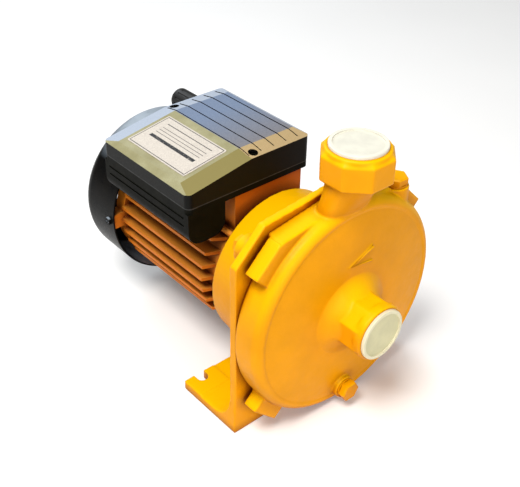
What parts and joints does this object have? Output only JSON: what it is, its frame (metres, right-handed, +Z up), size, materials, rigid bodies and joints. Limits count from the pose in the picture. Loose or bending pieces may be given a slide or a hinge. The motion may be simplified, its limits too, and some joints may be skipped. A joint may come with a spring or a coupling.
{
  "type": "centrifugal water pump",
  "caption": "Close-coupled centrifugal water pump: volute casing with suction and discharge ports, finned motor, fan cover and terminal box.",
  "frame": {"origin": "on the floor under the foot, on the pump's centre plane, midway between the two foot slots", "axes": "+Z up and along the discharge port; +Y along the shaft towards the fan, so the suction port faces -Y; +X to the right seen from the suction side"},
  "size_m": [0.192, 0.309, 0.245],
  "materials": {
    "yellow_paint": "gloss",
    "orange_paint": "satin",
    "black_cover": "satin",
    "box_plastic": "matte",
    "lid_paint": "satin",
    "cap_plastic": "matte",
    "brass": "turned",
    "yellow_brass": "gloss",
    "steel": "machined",
    "zinc": "zinc plated",
    "rubber": "matte",
    "ceramic": "lapped",
    "carbon": "lapped",
    "lamination": "stacked",
    "copper": "varnished",
    "alu": "cast",
    "fan_plastic": "moulded",
    "fibre": "pressed",
    "plate_metal": "printed",
    "cap_alu": "drawn",
    "block_plastic": "moulded",
    "lead_plastic": "moulded"
  },
  "bodies": {
    "pump": {"volute_casing": "yellow_paint", "priming_plug_washer": "fibre", "drain_plug_washer": "fibre", "casing_o_ring": "rubber", "casing_bolts": "zinc", "casing_bolt_washers": "zinc", "seal_cup": "rubber", "seal_seat": "ceramic", "motor_bracket": "yellow_paint", "motor_frame": "orange_paint", "stator_core": "lamination", "stator_windings": "copper", "motor_leads": "lead_plastic", "front_bearing_outer": "steel", "rear_bearing_outer": "steel", "wave_washer": "steel", "rear_end_shield": "orange_paint", "tie_rods": "zinc", "tie_rod_nuts": "zinc", "fan_cover": "black_cover", "fan_cover_screws": "zinc", "box_gasket": "rubber", "terminal_box_base": "box_plastic", "box_screws": "zinc", "lid_gasket": "rubber", "terminal_box_lid": "lid_paint", "lid_screws": "zinc", "rating_plate": "plate_metal", "run_capacitor": "cap_alu", "capacitor_band": "zinc", "terminal_block": "block_plastic", "terminal_screws": "brass", "earth_screw": "zinc", "cable_gland_body": "fan_plastic", "gland_locknut": "fan_plastic", "gland_seal": "rubber", "gland_nut": "fan_plastic"},
    "rotor": {"rotor_shaft": "steel", "impeller": "brass", "impeller_key": "steel", "impeller_nut": "brass", "seal_head": "carbon", "seal_bellows": "rubber", "seal_spring": "steel", "water_slinger": "rubber", "rotor_core": "lamination", "rotor_cage": "alu", "front_bearing_inner": "steel", "rear_bearing_inner": "steel", "cooling_fan": "fan_plastic", "fan_retaining_ring": "steel"},
    "front_ball_set": {"front_bearing_balls": "steel", "front_bearing_cage": "steel"},
    "rear_ball_set": {"rear_bearing_balls": "steel", "rear_bearing_cage": "steel"},
    "suction_cap": {"suction_port_cap": "cap_plastic"},
    "discharge_cap": {"discharge_port_cap": "cap_plastic"},
    "priming_plug": {"priming_plug": "yellow_brass"},
    "drain_plug": {"drain_plug": "yellow_brass"}
  },
  "joints": [
    {"name": "rotor_spin", "type": "hinge", "parent": "pump", "child": "rotor", "pos_m": [0, 0, 0.097], "axis": [0, 1, 0], "continuous": true},
    {"name": "front_balls_roll", "type": "hinge", "parent": "pump", "child": "front_ball_set", "pos_m": [0, -0.0075, 0.097], "axis": [0, 1, 0], "continuous": true},
    {"name": "rear_balls_roll", "type": "hinge", "parent": "pump", "child": "rear_ball_set", "pos_m": [0, 0.132, 0.097], "axis": [0, 1, 0], "continuous": true},
    {"name": "suction_cap_pull", "type": "slide", "parent": "pump", "child": "suction_cap", "axis": [0, -1, 0], "range_m": [0, 0.12]},
    {"name": "discharge_cap_pull", "type": "slide", "parent": "pump", "child": "discharge_cap", "axis": [0, 0, 1], "range_m": [0, 0.12]},
    {"name": "priming_plug_out", "type": "slide", "parent": "pump", "child": "priming_plug", "axis": [0, 0, 1], "range_m": [0, 0.06]},
    {"name": "drain_plug_out", "type": "slide", "parent": "pump", "child": "drain_plug", "axis": [0, -1, 0], "range_m": [0, 0.06]}
  ],
  "couplings": [
    {"joint": "front_balls_roll", "follows": "rotor_spin", "ratio": 0.381},
    {"joint": "rear_balls_roll", "follows": "rotor_spin", "ratio": 0.381}
  ]
}
